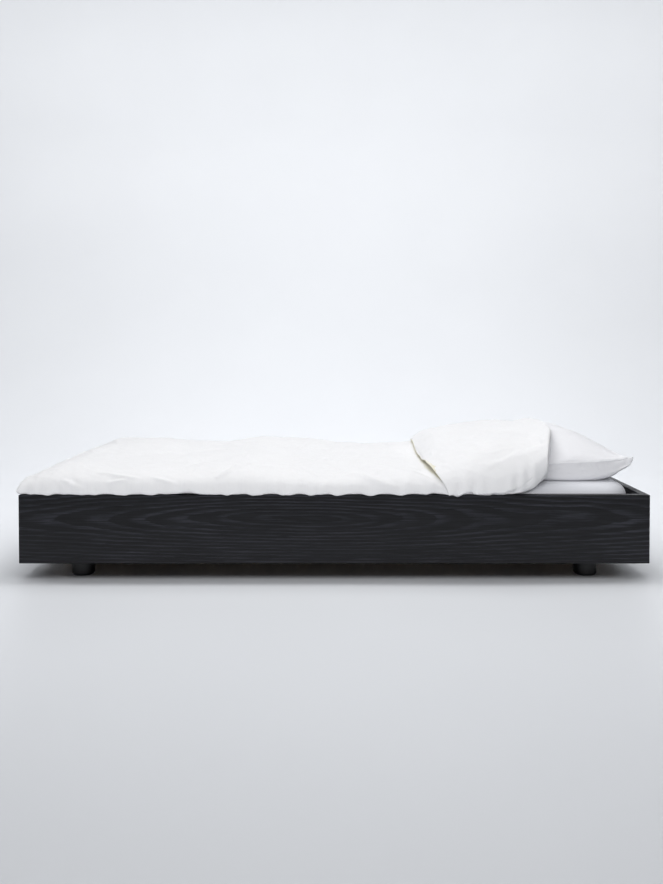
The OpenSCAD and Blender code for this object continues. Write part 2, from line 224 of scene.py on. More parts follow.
@dataclass(frozen=True)
class Billow:
    """Cloth simulation of a stuffed piece: air pressure inside a cover that is cut a little too large.

    Attributes:
        pressure: Pressure inside the cover.
        growth: Share by which the cover's cloth is longer than its shape, which wrinkles it.
        reach: Furthest that a point may move, in metres.
        frames: Steps of the simulation.
        bending: Stiffness of the cover against bending.
    """

    pressure: float
    growth: float
    reach: float
    frames: int = 20
    bending: float = 0.4

    def run(self, piece: bpy.types.Object, free: np.ndarray) -> None:
        """Simulates the piece and applies the result.

        A point moves by reach * tanh(|move| / reach) along its simulated move, times how free it is.

        Args:
            piece: The closed mesh piece.
            free: For each point, from 0, held, to 1, free.
        """
        before = places_of(piece.data)
        modifier = piece.modifiers.new("billow", "CLOTH")
        cloth = modifier.settings
        cloth.quality = 4
        cloth.mass = 0.25
        cloth.tension_stiffness = cloth.compression_stiffness = 12.0
        cloth.shear_stiffness = 4.0
        cloth.bending_stiffness = self.bending
        cloth.use_pressure = True
        cloth.uniform_pressure_force = self.pressure
        cloth.shrink_min = -self.growth
        cloth.effector_weights.gravity = 0.0
        modifier.collision_settings.use_collision = False
        modifier.point_cache.frame_end = self.frames
        scene = bpy.context.scene
        for step in range(1, self.frames + 1):
            scene.frame_set(step)
        graph = bpy.context.evaluated_depsgraph_get()
        move = places_of(piece.evaluated_get(graph).data) - before
        piece.modifiers.remove(modifier)
        scene.frame_set(1)
        size = np.linalg.norm(move, axis=1, keepdims=True) + 1e-9
        place(piece.data, before + move / size * self.reach * np.tanh(size / self.reach) * free[:, None])


# ---------- material graph ----------


class Graph:
    """Makes one material's nodes and joins them."""

    def __init__(self, name: str) -> None:
        """Starts a material with its shader."""
        self.material = bpy.data.materials.new(name)
        self.material.use_nodes = True
        self.tree = self.material.node_tree
        self.shader = self.tree.nodes["Principled BSDF"]

    def put(self, socket: bpy.types.NodeSocket, value: object) -> None:
        """Links a socket into an input, or sets the input to a plain value."""
        if isinstance(value, bpy.types.NodeSocket):
            self.tree.links.new(value, socket)
        else:
            socket.default_value = value

    def node(self, kind: str, values: dict[str | int, object], **settings: object) -> bpy.types.Node:
        """Adds a node.

        Args:
            kind: The node's type without its ShaderNode prefix.
            values: Inputs by name or index, as sockets or plain values.
            **settings: The node's own properties.

        Returns:
            The new node.
        """
        made = self.tree.nodes.new(f"ShaderNode{kind}")
        for key, value in settings.items():
            setattr(made, key, value)
        for key, value in values.items():
            self.put(made.inputs[key], value)
        return made

    def finish(self, **values: object) -> bpy.types.Material:
        """Sets the shader's inputs, named with underscores for spaces, and returns the material."""
        for key, value in values.items():
            self.put(self.shader.inputs[key.replace("_", " ")], value)
        return self.material

    def space(self, turn: float = 0.0, scale: Colour = (1.0, 1.0, 1.0)) -> bpy.types.NodeSocket:
        """Object coordinates, turned about Z and scaled."""
        source = self.node("TexCoord", {}).outputs["Object"]
        turned = self.node("Mapping", {"Vector": source, "Rotation": (0.0, 0.0, turn)})
        return self.stretch(turned.outputs[0], scale)

    def stretch(self, vector: bpy.types.NodeSocket, scale: Colour) -> bpy.types.NodeSocket:
        """The vector with each coordinate scaled."""
        return self.node("Mapping", {"Vector": vector, "Scale": scale}).outputs[0]

    def math(self, operation: str, a: object, b: object = 0.0, c: object = 0.0) -> bpy.types.NodeSocket:
        """One math step."""
        return self.node("Math", {0: a, 1: b, 2: c}, operation=operation).outputs[0]

    def noise(
        self, vector: bpy.types.NodeSocket, scale: float, detail: float = 2.0, rough: float = 0.5
    ) -> bpy.types.NodeSocket:
        """Noise texture's value, from 0 to 1."""
        values = {"Vector": vector, "Scale": scale, "Detail": detail, "Roughness": rough}
        return self.node("TexNoise", values).outputs[0]

    def ramp(self, factor: bpy.types.NodeSocket, low: float, high: float) -> bpy.types.NodeSocket:
        """Smooth step of the factor, from 0 at low to 1 at high."""
        values = {"Value": factor, "From Min": low, "From Max": high}
        return self.node("MapRange", values, interpolation_type="SMOOTHSTEP").outputs[0]

    def blend(self, factor: object, a: Colour, b: Colour) -> bpy.types.NodeSocket:
        """Colour between a and b."""
        made = self.node("Mix", {}, data_type="RGBA")
        self.put(made.inputs[0], factor)
        self.put(made.inputs[6], (*a, 1.0) if isinstance(a, tuple) else a)
        self.put(made.inputs[7], (*b, 1.0) if isinstance(b, tuple) else b)
        return made.outputs[2]

    def bump(
        self, height: bpy.types.NodeSocket, distance: float, strength: float = 1.0, under: object = None
    ) -> bpy.types.NodeSocket:
        """Bump of the given depth in metres, over another bump if one is given."""
        values = {"Height": height, "Distance": distance, "Strength": strength}
        if under is not None:
            values["Normal"] = under
        return self.node("Bump", values).outputs[0]


# ---------- finishes ----------


class Grain(Enum):
    """Way that a board's grain runs, as the turn about Z that brings it to X."""

    ALONG = 0.0
    ACROSS = math.pi / 2


@dataclass(frozen=True)
class StainedAsh:
    """Black-stained, open-grained ash with one long cathedral figure.

    The figure is the trunk's rings cut by the board's face: the distance from a line inside
    the trunk that comes nearest to the face at the heart and drops away to both ends.

    Attributes:
        name: Name of the material.
        grain: Way that the grain runs.
        heart: Place along the board where the figure's eye is.
        figure_z: Height of the figure's middle line.
        ring: Spacing of the rings.
        drop: How fast the line inside the trunk drops away from the face, along the board.
        base: Colour between the lines.
        line: Colour of the lines.
    """

    name: str
    grain: Grain
    heart: float = -0.06
    figure_z: float = 0.195
    ring: float = 0.0105
    drop: float = 0.072
    base: Colour = (0.0048, 0.0048, 0.0068)
    line: Colour = (0.066, 0.067, 0.084)

    def material(self) -> bpy.types.Material:
        """Builds the material."""
        g = Graph(self.name)
        space = g.space(self.grain.value)
        waver = g.math("SUBTRACT", g.noise(g.stretch(space, (1.3, 6.0, 5.0)), 1.0, 3.0), 0.5)
        feather = g.math("SUBTRACT", g.noise(g.stretch(space, (22.0, 60.0, 90.0)), 1.0, 2.0), 0.5)
        split = g.node("SeparateXYZ", {0: space})
        away = g.math("ABSOLUTE", g.math("SUBTRACT", split.outputs[0], self.heart))
        sink = g.math("MULTIPLY_ADD", away, self.drop, 0.004)
        sink = g.math("MULTIPLY_ADD", waver, 0.055, sink)
        height = g.math("SUBTRACT", split.outputs[2], self.figure_z)
        height = g.math("MULTIPLY_ADD", waver, 0.03, height)
        radius = g.math("SQRT", g.math("ADD", g.math("POWER", sink, 2.0), g.math("POWER", height, 2.0)))
        radius = g.math("MULTIPLY_ADD", feather, 0.0035, radius)
        band = g.math("FRACT", g.math("DIVIDE", radius, self.ring))
        line = g.math("MULTIPLY", g.ramp(band, 0.0, 0.12), g.ramp(band, 0.62, 0.22))
        pores = g.noise(g.stretch(space, (9.0, 420.0, 420.0)), 1.0, 3.0, 0.6)
        streak = g.ramp(pores, 0.38, 0.62)
        patch = g.ramp(g.noise(g.stretch(space, (3.0, 9.0, 14.0)), 1.0, 2.0), 0.3, 0.7)
        shade = g.math("MULTIPLY", line, g.math("MULTIPLY_ADD", streak, 0.75, 0.25))
        shade = g.math("MULTIPLY", shade, g.math("MULTIPLY_ADD", patch, 0.6, 0.4))
        fine = g.math("MULTIPLY", streak, 0.16)
        colour = g.blend(g.math("ADD", shade, fine), self.base, self.line)
        relief = g.math("MULTIPLY_ADD", line, -0.5, g.math("MULTIPLY", pores, 0.6))
        rough = g.math("MULTIPLY_ADD", line, 0.12, 0.42)
        return g.finish(
            Base_Color=colour,
            Roughness=rough,
            Specular_IOR_Level=0.42,
            Normal=g.bump(relief, 0.35 * MM, 0.8),
        )


@dataclass(frozen=True)
class PaleWood:
    """Planed pale timber with straight grain and a few darker lines."""

    name: str
    grain: Grain
    light: Colour = (0.60, 0.44, 0.26)
    dark: Colour = (0.40, 0.25, 0.12)
    rough: float = 0.55

    def material(self) -> bpy.types.Material:
        """Builds the material: rings from stretched noise, with fine fibres over them."""
        g = Graph(self.name)
        space = g.space(self.grain.value)
        bend = g.noise(g.stretch(space, (1.2, 14.0, 14.0)), 1.0, 2.0)
        rings = g.math("FRACT", g.math("MULTIPLY", bend, 9.0))
        line = g.math("MULTIPLY", g.ramp(rings, 0.0, 0.75), g.ramp(rings, 1.0, 0.9))
        fibre = g.noise(g.stretch(space, (12.0, 500.0, 500.0)), 1.0, 3.0, 0.6)
        tone = g.math("MULTIPLY_ADD", line, 0.45, g.math("MULTIPLY", fibre, 0.4))
        return g.finish(
            Base_Color=g.blend(tone, self.light, self.dark),
            Roughness=self.rough,
            Normal=g.bump(g.math("ADD", fibre, g.math("MULTIPLY", line, 0.3)), 0.2 * MM, 0.6),
        )


@dataclass(frozen=True)
class Lacquer:
    """Black satin lacquer over turned wood, with faint turning marks and dust."""

    name: str
    colour: Colour = (0.006, 0.006, 0.007)

    def material(self) -> bpy.types.Material:
        """Builds the material."""
        g = Graph(self.name)
        space = g.space()
        marks = g.noise(g.stretch(space, (3.0, 3.0, 900.0)), 1.0, 2.0)
        wear = g.ramp(g.noise(space, 60.0, 4.0, 0.6), 0.45, 0.8)
        return g.finish(
            Base_Color=g.blend(wear, self.colour, (0.014, 0.014, 0.016)),
            Roughness=g.math("MULTIPLY_ADD", wear, 0.2, 0.35),
            Normal=g.bump(marks, 0.1 * MM, 0.5),
        )


@dataclass(frozen=True)
class Plated:
    """Bright plated metal with a fine brushed and spotted surface."""

    name: str
    colour: Colour
    shade: Colour

    def material(self) -> bpy.types.Material:
        """Builds the material."""
        g = Graph(self.name)
        space = g.space()
        brush = g.noise(g.stretch(space, (40.0, 40.0, 900.0)), 1.0, 3.0, 0.6)
        spots = g.ramp(g.noise(space, 160.0, 4.0, 0.6), 0.4, 0.75)
        return g.finish(
            Base_Color=g.blend(spots, self.colour, self.shade),
            Metallic=1.0,
            Roughness=g.math("MULTIPLY_ADD", brush, 0.25, 0.22),
            Normal=g.bump(brush, 0.06 * MM, 0.5),
        )


@dataclass(frozen=True)
class Felt:
    """Pressed felt: short fibres in all directions, with a fuzz of sheen."""

    name: str
    colour: Colour = (0.018, 0.018, 0.019)

    def material(self) -> bpy.types.Material:
        """Builds the material."""
        g = Graph(self.name)
        space = g.space()
        fibre = g.noise(space, 1400.0, 4.0, 0.7)
        return g.finish(
            Base_Color=g.blend(fibre, self.colour, (0.05, 0.05, 0.052)),
            Roughness=0.95,
            Sheen_Weight=0.4,
            Normal=g.bump(fibre, 0.4 * MM),
        )


@dataclass(frozen=True)
class Cloth:
    """Woven cotton: a plain weave on the cloth's own coordinates, soft crinkles and slubs.

    Attributes:
        name: Name of the material.
        colour: Colour of the cloth.
        shade: Darker colour: painted shade in the weave's hollows, and the slubs' own tone.
        pitch: Spacing of the threads, in metres.
        crinkle: Depth of the crinkles, in metres.
        sheen: Weight of the fuzz.
        woven: Whether the piece has cloth coordinates; otherwise object coordinates serve.
        inside: Colour of a painted warm shade, laid where the attribute "inside" is 1, if any.
    """

    name: str
    colour: Colour
    shade: Colour
    pitch: float = 0.0007
    crinkle: float = 0.0005
    sheen: float = 0.25
    woven: bool = True
    inside: Colour | None = None

    def material(self) -> bpy.types.Material:
        """Builds the material: warp and weft as two crossed sine waves."""
        g = Graph(self.name)
        space = g.space()
        cloth = g.node("UVMap", {}, uv_map="cloth").outputs[0] if self.woven else space
        split = g.node("SeparateXYZ", {0: cloth})
        number = 2.0 * math.pi / self.pitch
        warp = g.math("SINE", g.math("MULTIPLY", split.outputs[0], number))
        weft = g.math("SINE", g.math("MULTIPLY", split.outputs[1], number))
        weave = g.math("MULTIPLY", warp, weft)
        slub = g.noise(g.stretch(cloth, (30.0, 1200.0, 30.0)), 1.0, 2.0)
        soft = g.noise(space, 55.0, 4.0, 0.55)
        crushed = g.noise(space, 16.0, 3.0, 0.6)
        # Painted shade in the weave's hollows, plus the slubs' darker tone.
        tone = g.math("MULTIPLY_ADD", weave, 0.12, g.math("MULTIPLY", g.ramp(slub, 0.5, 0.8), 0.35))
        folds = g.math("MULTIPLY_ADD", soft, 0.5, crushed)
        crinkled = g.bump(folds, self.crinkle * 4.0, 0.6)
        colour = g.blend(tone, self.colour, self.shade)
        # Painted shade: a warm, darker colour where the attribute "inside" marks the shade under a fold.
        if self.inside:
            painted_fold_shade = g.node("Attribute", {}, attribute_name="inside").outputs["Fac"]
            colour = g.blend(g.ramp(painted_fold_shade, 0.1, 0.9), colour, self.inside)
        return g.finish(
            Base_Color=colour,
            Roughness=0.88,
            Specular_IOR_Level=0.25,
            Sheen_Weight=self.sheen,
            Sheen_Roughness=0.5,
            Normal=g.bump(g.math("ADD", weave, slub), 0.12 * MM, 0.5, crinkled),
        )


@dataclass(frozen=True)
class Quilted:
    """Knitted mattress ticking, quilted in a wavy diamond pattern."""

    name: str
    colour: Colour = (0.74, 0.74, 0.72)

    def material(self) -> bpy.types.Material:
        """Builds the material: two sets of slanting lines whose product dips at the stitching."""
        g = Graph(self.name)
        space = g.space()
        split = g.node("SeparateXYZ", {0: space})
        number = 2.0 * math.pi / 0.11
        rise = g.math("MULTIPLY", g.math("ADD", split.outputs[0], split.outputs[1]), number)
        fall = g.math("MULTIPLY", g.math("SUBTRACT", split.outputs[0], split.outputs[1]), number)
        first = g.math("ABSOLUTE", g.math("SINE", rise))
        second = g.math("ABSOLUTE", g.math("SINE", fall))
        puff = g.math("POWER", g.math("MULTIPLY", first, second), 0.4)
        knit = g.noise(space, 900.0, 2.0)
        return g.finish(
            Base_Color=g.blend(g.math("MULTIPLY", knit, 0.4), self.colour, (0.58, 0.58, 0.56)),
            Roughness=0.9,
            Sheen_Weight=0.2,
            Normal=g.bump(knit, 0.2 * MM, 0.6, g.bump(puff, 4.0 * MM)),
        )


# ---------- timber, hardware and slats ----------


def dress(nodes: list[str], material: bpy.types.Material) -> None:
    """Gives CAD nodes a finish in their own material slots."""
    for name in nodes:
        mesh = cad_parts[name].data
        mesh.materials.clear()
        mesh.materials.append(material)


def named(*starts: str) -> list[str]:
    """Names of the CAD nodes that begin with any of the given words."""
    return sorted(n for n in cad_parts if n.startswith(starts))


@dataclass
class BoxFrame:
    """The mitred boards, with ledgers, bearers, legs and their hardware."""

    def dress(self) -> None:
        """Gives each board grain along its own length, and the rest its wood or metal."""
        dress(named("side_rail"), StainedAsh("stained_ash", Grain.ALONG).material())
        ends = StainedAsh("stained_ash_ends", Grain.ACROSS, heart=0.1, figure_z=0.15, drop=0.11)
        dress(named("end_rail"), ends.material())
        dress(named("ledger_front", "ledger_back"), PaleWood("spruce", Grain.ALONG).material())
        dress(named("bearer_foot", "bearer_head"), PaleWood("spruce_bearer", Grain.ACROSS).material())
        dress(named("leg_front", "leg_back"), Lacquer("leg_lacquer").material())
        dress(named("felt_glide"), Felt("felt").material())
        zinc = Plated("zinc", (0.62, 0.63, 0.65), (0.45, 0.46, 0.49))
        dress(named("corner_bracket", "bracket_screws", "leg_studs", "tee_nuts"), zinc.material())
        yellow = Plated("yellow_zinc", (0.66, 0.56, 0.32), (0.48, 0.40, 0.24))
        dress(["ledger_screws", "bearer_screws"], yellow.material())
        brass = Plated("brass", (0.78, 0.58, 0.28), (0.55, 0.40, 0.18))
        dress(["threaded_inserts"], brass.material())
        beech = PaleWood("beech", Grain.ALONG, (0.56, 0.38, 0.22), (0.42, 0.26, 0.14))
        dress(["mitre_dowels", "slat_pegs"], beech.material())


@dataclass
class SlatBase:
    """The slats on their webbing."""

    def dress(self) -> None:
        """Gives the slats grain along their length, and the webbing its ribbed weave."""
        slats = PaleWood("slat_wood", Grain.ACROSS, (0.64, 0.48, 0.29), (0.44, 0.29, 0.15))
        dress(named("slat_0", "slat_1"), slats.material())
        webbing = Cloth(
            "webbing", (0.09, 0.09, 0.10), (0.03, 0.03, 0.035), pitch=0.0022, sheen=0.1, woven=False
        )
        dress(["webbing_front", "webbing_back"], webbing.material())
        tack = Plated("tack_steel", (0.60, 0.60, 0.62), (0.42, 0.42, 0.45))
        dress(["webbing_tacks"], tack.material())


# ---------- mattress ----------


@dataclass
class Slab:
    """Rounded slab as rings round its middle line, from the middle of its top down and in under it.

    Attributes:
        low: Lowest corner of its box.
        high: Highest corner of its box.
        corner: Radius of its corners in plan.
        edge: Radius of its edges in section.
    """

    low: Vector
    high: Vector
    corner: float
    edge: float

    def rings(self, around: int) -> tuple[np.ndarray, np.ndarray]:
        """Outline in plan, evenly spaced: corner centres, and unit directions out from them.

        Args:
            around: Number of steps round the outline.

        Returns:
            Two arrays (around + 1, 2), whose last point repeats the first.
        """
        half = (self.high - self.low) / 2
        side_x, side_y = half.x - self.corner, half.y - self.corner
        arc = self.corner * math.pi / 2
        steps = [0, side_y, arc, 2 * side_x, arc, 2 * side_y, arc, 2 * side_x, arc, side_y]
        marks = np.cumsum(steps)
        s = (np.arange(around + 1) % around) * marks[-1] / around
        turn = np.interp(s, marks, np.array([0, 0, 1, 1, 2, 2, 3, 3, 4, 4]) * math.pi / 2)
        centre_x = np.interp(s, marks, [1, 1, 1, -1, -1, -1, -1, 1, 1, 1]) * side_x
        centre_y = np.interp(s, marks, [0, 1, 1, 1, 1, -1, -1, -1, -1, 0]) * side_y
        return np.stack([centre_x, centre_y], -1), np.stack([np.cos(turn), np.sin(turn)], -1)

    def points(self, around: int, inward: int, hem: float) -> tuple[np.ndarray, np.ndarray]:
        """Grid of points over the top, down the side and in under it.

        The flat parts are the outline's own shape scaled towards the middle; the edges are
        quarter circles of the edge radius.

        Args:
            around: Number of steps in a ring.
            inward: Number of rings across the top.
            hem: How far the underside reaches inwards, as a share of the way to the middle.

        Returns:
            Points (rings, around + 1, 3), and cloth coordinates (rings, around + 1, 2).
        """
        centre, way = self.rings(around)
        half_z = (self.high.z - self.low.z) / 2
        bend = np.linspace(0.0, math.pi / 2, 8)
        top = np.linspace(0.0, 1.0, inward)[:-1] ** 0.8
        side = np.linspace(1.0, -1.0, 14)[1:-1] * (half_z - self.edge)
        under = np.linspace(1.0, 1.0 - hem, 10)[1:]
        scale = np.concatenate([top, 0 * bend + 1, 0 * side + 1, 0 * bend + 1, under])
        inset = np.concatenate(
            [0 * top + 1, 1 - np.sin(bend), 0 * side, 1 - np.cos(bend), 0 * under + 1]
        )
        z = np.concatenate(
            [
                0 * top + half_z,
                half_z - self.edge * (1 - np.cos(bend)),
                side,
                self.edge * (1 - np.sin(bend)) - half_z,
                0 * under - half_z,
            ]
        )
        reach = (self.corner - self.edge * inset)[:, None, None]
        flat = (centre[None] + way[None] * reach) * scale[:, None, None]
        tall = np.broadcast_to(z[:, None, None], (*flat.shape[:2], 1))
        uv = flat + way[None] * (half_z - z)[:, None, None]
        return np.concatenate([flat, tall], axis=2) + np.array((self.high + self.low) / 2), uv


@dataclass
class Mattress:
    """Foam mattress in its quilted ticking, and the fitted sheet drawn over it.

    Attributes:
        body: CAD body that both ride on.
        around: Steps round the mattress.
        piping: Radius of the piping along the top and bottom edges.
        slack: How far the sheet's corners gather, in metres.
        short: How far the made mattress's head end stays back from its box.
    """

    body: str = "mattress"
    around: int = 360
    piping: float = 3.0 * MM
    slack: float = 1.6 * MM
    short: Vector = field(default_factory=lambda: Vector((0.012, 0.0, 0.0)))

    def core(self) -> bpy.types.Object:
        """Builds the mattress: a slab with a piped edge, closed underneath, its stitching in the ticking."""
        low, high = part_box("mattress")
        inside = Vector((2.5, 2.5, 0.0)) * MM
        slab = Slab(low + inside, high - inside - self.short, 0.084, 0.038)
        points, uv = slab.points(self.around, 14, 1.0)
        levels = (low.z + 0.02, high.z - 0.02)
        cord = sum(np.exp(-(((points[..., 2] - level) / self.piping) ** 2)) for level in levels)
        centre = np.array((low + high) / 2)[:2]
        outward = points[..., :2] - centre
        outward /= np.linalg.norm(outward, axis=-1, keepdims=True) + 1e-9
        points[..., :2] += outward * (cord * 1.8 * MM)[..., None]
        piece = grid_piece("mattress_core", points, uv)
        piece.data.materials.append(Quilted("mattress_ticking").material())
        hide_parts("mattress")
        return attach(piece, self.body)

    def sheet(self) -> bpy.types.Object:
        """Builds the fitted sheet: the slab's skin, gathered at its corners, with its hem turned under.

        Gathers are creases that run down and round each corner, deepest at the elastic hem.
        """
        low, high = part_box("fitted_sheet")
        thin = Vector((0.6, 0.6, 0.6)) * MM
        slab = Slab(low + thin, high - thin - self.short, 0.088, 0.043)
        points, uv = slab.points(self.around * 2, 60, 0.165)
        half = (high - low) / 2
        x, y, z = np.moveaxis(points, -1, 0)
        corner = ease(abs(x), half.x - 0.16, half.x - 0.02) * ease(abs(y), half.y - 0.16, half.y - 0.02)
        drop = ease(z, high.z, low.z + 0.02)
        round_corner = np.arctan2(abs(y) - half.y + 0.12, abs(x) - half.x + 0.12)
        pleat = np.cos(round_corner * 34.0 + 2.0 * ripples(points, 0.09, 11))
        wave = ripples(points[..., :2], 0.22, 12) * 0.35 + ripples(points, 0.06, 13) * 0.15
        shift = self.slack * (corner * drop * (pleat - 1.0) * 0.5 - 0.35 * abs(wave))
        on_top = ease(z, high.z - 0.02, high.z - 0.004)
        outward = np.stack([x, y], -1)
        outward /= np.linalg.norm(outward, axis=-1, keepdims=True) + 1e-9
        points[..., :2] += outward * (shift * (1 - on_top))[..., None]
        points[..., 2] += np.minimum(shift, 0.0) * on_top * 0.4
        piece = grid_piece("fitted_sheet_cover", points, uv)
        piece.data.materials.append(
            Cloth("sheet_cotton", (0.71, 0.72, 0.76), (0.56, 0.57, 0.62), 0.0005, 0.0001).material()
        )
        solid = piece.modifiers.new("thickness", "SOLIDIFY")
        solid.thickness = 0.5 * MM
        solid.offset = -1.0
        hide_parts("fitted_sheet")
        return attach(piece, self.body)


# ---------- pillow ----------


@dataclass
class Pillow:
    """Plump pillow: two panels sewn round their edge, flattened where it rests.

    Attributes:
        body: CAD body that it rides on.
        along: Grid columns along the bed.
        across: Grid rows across the bed.
        pinch: How far the sides pull in between the corners, as a share of the half size.
        crest: Place of the crest as a share of the half length, towards the head end.
        crown: Height of the crest above the floor.
        seam_width: Half width of the raised seam round the edge.
    """

    body: str = "pillow"
    along: int = 72
    across: int = 104
    pinch: float = 0.055
    crest: float = 0.12
    crown: float = 0.460
    seam_width: float = 0.0035

    def __post_init__(self) -> None:
        """Takes the pillow's place from its CAD solid."""
        low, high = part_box("pillow")
        self.middle = (low + high) / 2
        self.half = (high - low) / 2
        self.rest_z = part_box("fitted_sheet")[1].z + 1.0 * MM

    def seam_z(self, u: np.ndarray, v: np.ndarray) -> np.ndarray:
        """Height of the seam: lower along the sides, and raised towards the head-end corners."""
        lift = 0.024 * (u * v) ** 4 * (u > 0)
        return self.middle.z - 0.020 - 0.018 * (1 - u) / 2 + lift

    def puff(self, u: np.ndarray, v: np.ndarray, along: float = 1.0, across: float = 1.0) -> np.ndarray:
        """Fullness from 0 at the seam to 1 at the crest: a product of rounded arches along and across.

        Args:
            u: Place along the bed, from -1 to 1.
            v: Place across the bed, from -1 to 1.
            along: Power of the arch along the bed; below 1 it is boxier.
            across: Power of the arch across it.

        Returns:
            The fullness.
        """
        shifted = np.where(
            u > self.crest, (u - self.crest) / (1 - self.crest), (self.crest - u) / (1 + self.crest)
        )
        sharper = np.where(u > self.crest, 2.0, 1.7)
        arch = np.clip(1 - shifted**sharper, 0, 1) ** np.where(u > self.crest, 0.62, 0.80)
        return arch**along * np.clip(1 - abs(v) ** 2.6, 0, 1) ** (0.55 * across)

    def top(self, x: np.ndarray, y: np.ndarray) -> np.ndarray:
        """Height of the pillow's upper side at a place, and its rest height outside it."""
        u = np.clip((x - self.middle.x) / self.half.x, -1, 1)
        v = np.clip((y - self.middle.y) / self.half.y, -1, 1)
        seam = self.seam_z(u, v)
        inside = (abs(x - self.middle.x) < self.half.x) & (abs(y - self.middle.y) < self.half.y)
        return np.where(inside, seam + (self.crown - seam) * self.puff(u, v), self.rest_z)

    def build(self) -> bpy.types.Object:
        """Builds the pillow as two panels on one grid, then billows its cover."""
        panel = np.linspace(-1, 1, self.along)
        u_line = np.sin(panel * math.pi / 2)
        v_line = np.sin(np.linspace(-1, 1, self.across) * math.pi / 2 * 0.96) / math.sin(0.96 * math.pi / 2)
        u_line = np.concatenate([u_line, u_line[-2:0:-1]])
        side = np.repeat([1, -1], [self.along, self.along - 2])
        u, v = np.meshgrid(u_line, v_line, indexing="ij")
        side = side[:, None] * np.ones_like(v)
        x = self.middle.x + self.half.x * u * (1 - self.pinch * (1 - v * v))
        y = self.middle.y + self.half.y * v * (1.015 - self.pinch * 0.4 * (1 - u * u))
        seam = self.seam_z(u, v)
        full = self.puff(u, v)
        above = seam + (self.crown - seam) * full
        bulge = self.puff(u, v, 0.62, 0.34)
        below = np.maximum(seam - (seam - self.rest_z + 0.03) * bulge, self.rest_z)
        points = np.stack([x, y, np.where(side > 0, above, below)], axis=-1)
        lumps = ripples(points, 0.17, 31) * 0.0022 * full * (side > 0)
        points[..., 2] += lumps
        uv = np.stack([x, y], axis=-1)
        uv = np.concatenate([uv, uv[:1]])
        piece = grid_piece("pillow_cover", points, uv, loop=True)
        place_now = places_of(piece.data)
        free = ease(place_now[:, 2], self.rest_z + 0.004, self.rest_z + 0.03)
        Billow(pressure=3.0, growth=0.035, reach=6 * MM, bending=0.3).run(piece, free)
        subdivided(piece)
        self.crease(piece)
        piece.data.materials.append(
            Cloth("pillow_cotton", (0.83, 0.83, 0.855), (0.68, 0.68, 0.72), 0.0005, 0.0002).material()
        )
        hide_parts("pillow")
        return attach(piece, self.body)

    def crease(self, piece: bpy.types.Object) -> None:
        """Adds fine creases that fan out from the corners, and keeps the pillow off the sheet."""
        points = places_of(piece.data)
        u = (points[:, 0] - self.middle.x) / self.half.x
        v = (points[:, 1] - self.middle.y) / self.half.y
        near_corner = ease(abs(u) + abs(v), 1.15, 1.85)
        angle = np.arctan2(1.05 - abs(v), 1.05 - abs(u))
        fan = np.cos(angle * 21 + 1.5 * ripples(points, 0.12, 35)) * near_corner
        fine = creases(points, 0.07, 36) * 0.6
        normals = normals_of(piece.data)
        resting = ease(points[:, 2], self.rest_z + 0.004, self.rest_z + 0.02)
        from_seam = (points[:, 2] - self.seam_z(u, v)) / self.seam_width
        rim = np.exp(-(from_seam**2)) * ease(np.maximum(abs(u), abs(v)), 0.9, 0.95)
        wavy = 1 + 0.3 * ripples(points[:, :2], 0.04, 37)
        points += normals * ((fan * 1.6 - fine * 1.2 + 3.5 * rim * wavy) * MM * resting)[:, None]
        points[:, 2] = np.maximum(points[:, 2], self.rest_z)
        place(piece.data, points)


# ---------- duvet ----------


@dataclass(frozen=True)
class Fold:
    """A long crease in the duvet's front slope.

    Attributes:
        start: Place along the bed and distance up the slope of its one end.
        end: The same of its other end.
        depth: How deep it is, in millimetres.
        width: Half its width.
    """

    start: tuple[float, float]
    end: tuple[float, float]
    depth: float = 3.5
    width: float = 0.011

    def rise(self, along: np.ndarray, up: np.ndarray) -> np.ndarray:
        """Height of the crease at each place: a groove with a lip on one side, fading at both ends.

        The height is depth * exp(-a^2) * (1.3 a - 0.6) * 2 sqrt(t (1 - t)), where a is the distance from
        the crease's line in widths, positive on its left, and t runs from 0 to 1 along it.

        Args:
            along: Places along the bed.
            up: Distances up the slope.

        Returns:
            The heights, in the unit of depth.
        """
        a, b = np.array(self.start), np.array(self.end)
        way = b - a
        length = np.hypot(*way)
        t = np.clip(((along - a[0]) * way[0] + (up - a[1]) * way[1]) / length**2, 0, 1)
        away = (way[0] * (up - a[1]) - way[1] * (along - a[0])) / (length * self.width)
        return self.depth * np.exp(-(away**2)) * (1.3 * away - 0.6) * 2 * np.sqrt(t * (1 - t))


